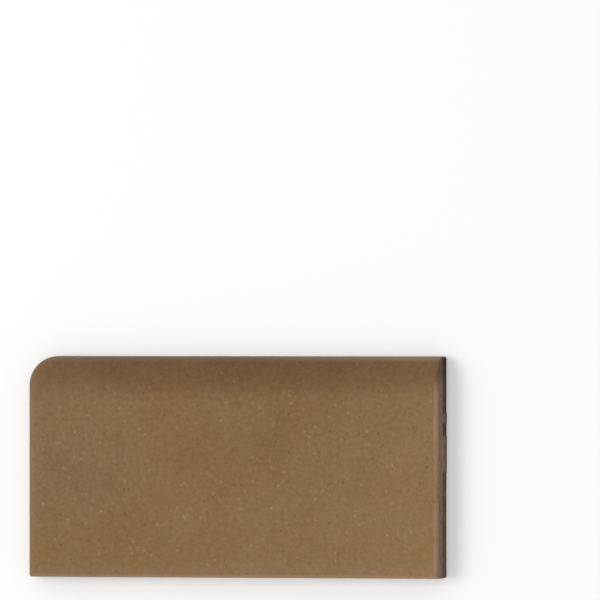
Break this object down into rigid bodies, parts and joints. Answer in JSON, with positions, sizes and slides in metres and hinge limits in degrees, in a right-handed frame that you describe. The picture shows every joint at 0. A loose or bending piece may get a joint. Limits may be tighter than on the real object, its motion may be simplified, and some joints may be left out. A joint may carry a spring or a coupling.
{
  "type": "skirting tile",
  "caption": "Skirting tile, rounded along its top edge, left end and the corner between them, square at its right end and floor edge, in unglazed speckled brown stoneware.",
  "frame": {"origin": "on the back, under the middle of the tile's bounding box", "axes": "+X along the skirting to the square end, +Y up the wall to the round top edge, +Z out of the face"},
  "size_m": [0.15, 0.075, 0.01],
  "materials": {
    "stoneware": "unglazed, fine speckle, matt to low sheen"
  },
  "bodies": {
    "root": {"skirting_tile": "stoneware"}
  },
  "joints": []
}
